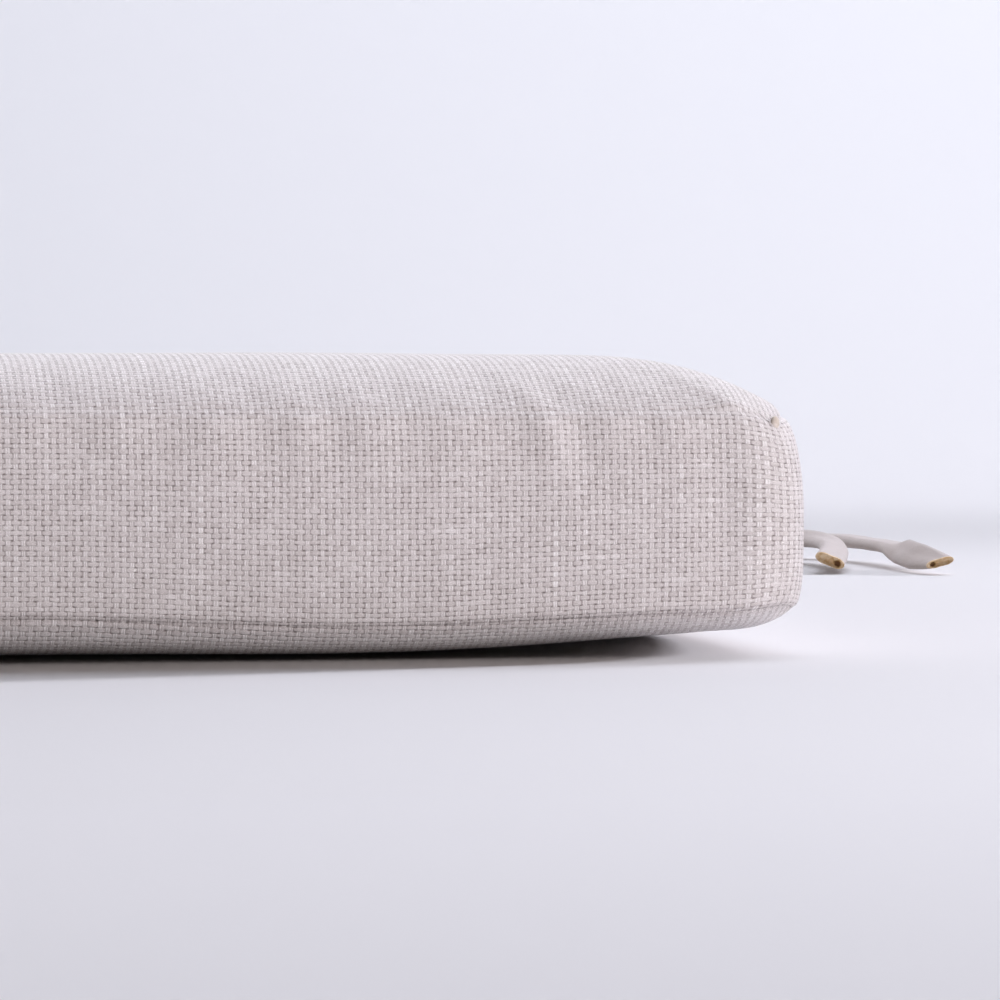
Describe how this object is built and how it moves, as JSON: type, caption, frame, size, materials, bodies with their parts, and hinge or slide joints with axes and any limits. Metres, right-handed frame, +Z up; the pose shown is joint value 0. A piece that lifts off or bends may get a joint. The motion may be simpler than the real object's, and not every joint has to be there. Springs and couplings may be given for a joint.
{
  "type": "garden chair cushion",
  "caption": "Square boxed seat cushion, filled and crowned, with plain seams round a narrow band and a pair of tie tails at each back corner.",
  "frame": {"origin": "on the floor, under the middle of the cushion", "axes": "+Z up from the floor the cushion lies on, +X to the cushion's right seen from its front, +Y towards its back edge with the ties"},
  "size_m": [0.763, 0.5555, 0.0741],
  "materials": {
    "cover": "matt half-panama weave, warm grey",
    "tie_tape": "matt soft tape, pale warm grey, ends cut hot"
  },
  "bodies": {
    "root": {"cushion": "cover", "tie_right_inner": "tie_tape", "tie_right_outer": "tie_tape", "tie_left_inner": "tie_tape", "tie_left_outer": "tie_tape"}
  },
  "joints": []
}
